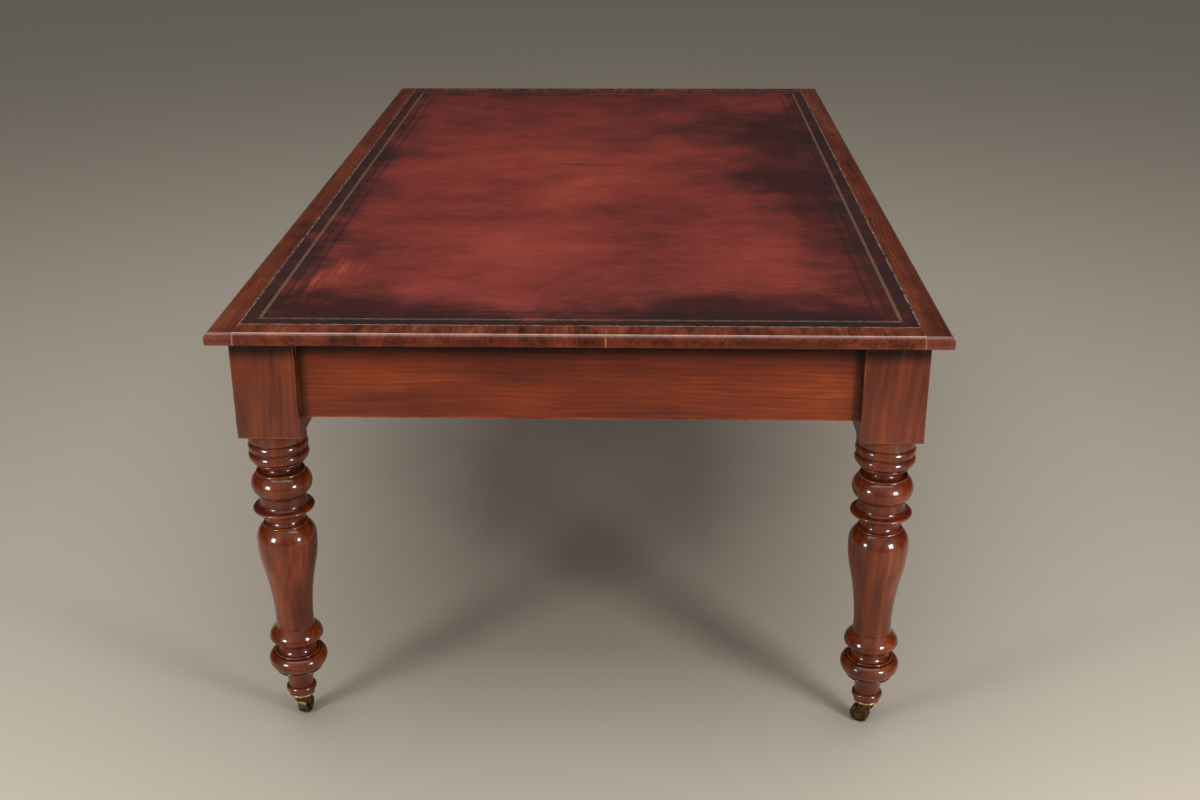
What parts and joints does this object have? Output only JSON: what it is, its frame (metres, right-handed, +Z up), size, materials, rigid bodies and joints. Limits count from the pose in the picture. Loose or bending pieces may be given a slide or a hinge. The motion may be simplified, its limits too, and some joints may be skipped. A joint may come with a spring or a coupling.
{
  "type": "partners desk",
  "caption": "Large leather-topped partners desk on turned legs with brass castors, with frieze drawers that slide out of both long sides.",
  "frame": {"origin": "on the floor under the middle of the top", "axes": "+Z up, Y along the length of the top, X across it; drawers open towards +X and -X"},
  "size_m": [1.195, 2.065, 0.775],
  "materials": {
    "polished_mahogany": "french polished mahogany",
    "carcase_wood": "plain unpolished mahogany",
    "drawer_lining": "plain planed mahogany",
    "tooled_leather": "glazed oxblood hide with gilt and blind tooling",
    "castor_brass": "dark patinated brass",
    "steel_fixings": "plain steel"
  },
  "bodies": {
    "frame": {"border_back": "polished_mahogany", "border_front": "polished_mahogany", "border_left": "polished_mahogany", "border_right": "polished_mahogany", "castor_cup_back_left": "castor_brass", "castor_cup_back_right": "castor_brass", "castor_cup_front_left": "castor_brass", "castor_cup_front_right": "castor_brass", "centre_rail": "carcase_wood", "corner_blocks": "carcase_wood", "cup_screws": "steel_fixings", "drawer_guides": "carcase_wood", "drawer_kickers": "carcase_wood", "drawer_rail_left": "polished_mahogany", "drawer_rail_right": "polished_mahogany", "drawer_runners": "carcase_wood", "drawer_stops": "carcase_wood", "end_rail_back": "polished_mahogany", "end_rail_front": "polished_mahogany", "leather_inset": "tooled_leather", "leg_back_left": "polished_mahogany", "leg_back_right": "polished_mahogany", "leg_front_left": "polished_mahogany", "leg_front_right": "polished_mahogany", "muntins": "polished_mahogany", "top_board": "carcase_wood", "top_buttons": "carcase_wood", "top_rail_left": "polished_mahogany", "top_rail_right": "polished_mahogany", "top_screws": "steel_fixings"},
    "drawer_left_1": {"drawer_front_left_1": "polished_mahogany", "drawer_box_left_1": "drawer_lining", "drawer_knobs_left_1": "polished_mahogany"},
    "drawer_left_2": {"drawer_front_left_2": "polished_mahogany", "drawer_box_left_2": "drawer_lining", "drawer_knobs_left_2": "polished_mahogany"},
    "drawer_left_3": {"drawer_front_left_3": "polished_mahogany", "drawer_box_left_3": "drawer_lining", "drawer_knobs_left_3": "polished_mahogany"},
    "drawer_right_1": {"drawer_front_right_1": "polished_mahogany", "drawer_box_right_1": "drawer_lining", "drawer_knobs_right_1": "polished_mahogany"},
    "drawer_right_2": {"drawer_front_right_2": "polished_mahogany", "drawer_box_right_2": "drawer_lining", "drawer_knobs_right_2": "polished_mahogany"},
    "drawer_right_3": {"drawer_front_right_3": "polished_mahogany", "drawer_box_right_3": "drawer_lining", "drawer_knobs_right_3": "polished_mahogany"},
    "castor_front_left": {"castor_horn_front_left": "castor_brass", "castor_axle_front_left": "steel_fixings"},
    "castor_wheel_front_left": {"castor_wheel_front_left": "castor_brass"},
    "castor_front_right": {"castor_horn_front_right": "castor_brass", "castor_axle_front_right": "steel_fixings"},
    "castor_wheel_front_right": {"castor_wheel_front_right": "castor_brass"},
    "castor_back_left": {"castor_horn_back_left": "castor_brass", "castor_axle_back_left": "steel_fixings"},
    "castor_wheel_back_left": {"castor_wheel_back_left": "castor_brass"},
    "castor_back_right": {"castor_horn_back_right": "castor_brass", "castor_axle_back_right": "steel_fixings"},
    "castor_wheel_back_right": {"castor_wheel_back_right": "castor_brass"}
  },
  "joints": [
    {"name": "drawer_left_1_slide", "type": "slide", "parent": "frame", "child": "drawer_left_1", "axis": [-1, 0, 0], "range_m": [0, 0.38]},
    {"name": "drawer_left_2_slide", "type": "slide", "parent": "frame", "child": "drawer_left_2", "axis": [-1, 0, 0], "range_m": [0, 0.38]},
    {"name": "drawer_left_3_slide", "type": "slide", "parent": "frame", "child": "drawer_left_3", "axis": [-1, 0, 0], "range_m": [0, 0.38]},
    {"name": "drawer_right_1_slide", "type": "slide", "parent": "frame", "child": "drawer_right_1", "axis": [1, 0, 0], "range_m": [0, 0.38]},
    {"name": "drawer_right_2_slide", "type": "slide", "parent": "frame", "child": "drawer_right_2", "axis": [1, 0, 0], "range_m": [0, 0.38]},
    {"name": "drawer_right_3_slide", "type": "slide", "parent": "frame", "child": "drawer_right_3", "axis": [1, 0, 0], "range_m": [0, 0.38]},
    {"name": "castor_front_left_swivel", "type": "hinge", "parent": "frame", "child": "castor_front_left", "pos_m": [-0.514, -0.949, 0.036], "axis": [0, 0, 1], "continuous": true},
    {"name": "castor_front_left_roll", "type": "hinge", "parent": "castor_front_left", "child": "castor_wheel_front_left", "pos_m": [-0.51141, -0.93934, 0.017], "axis": [-0.9659, 0.2588, 0], "continuous": true},
    {"name": "castor_front_right_swivel", "type": "hinge", "parent": "frame", "child": "castor_front_right", "pos_m": [0.514, -0.949, 0.036], "axis": [0, 0, 1], "continuous": true},
    {"name": "castor_front_right_roll", "type": "hinge", "parent": "castor_front_right", "child": "castor_wheel_front_right", "pos_m": [0.50494, -0.94477, 0.017], "axis": [-0.4226, -0.9063, 0], "continuous": true},
    {"name": "castor_back_left_swivel", "type": "hinge", "parent": "frame", "child": "castor_back_left", "pos_m": [-0.514, 0.949, 0.036], "axis": [0, 0, 1], "continuous": true},
    {"name": "castor_back_left_roll", "type": "hinge", "parent": "castor_back_left", "child": "castor_wheel_back_left", "pos_m": [-0.50826, 0.94081, 0.017], "axis": [0.8192, 0.5736, 0], "continuous": true},
    {"name": "castor_back_right_swivel", "type": "hinge", "parent": "frame", "child": "castor_back_right", "pos_m": [0.514, 0.949, 0.036], "axis": [0, 0, 1], "continuous": true},
    {"name": "castor_back_right_roll", "type": "hinge", "parent": "castor_back_right", "child": "castor_wheel_back_right", "pos_m": [0.5234, 0.95242, 0.017], "axis": [-0.342, 0.9397, 0], "continuous": true}
  ]
}
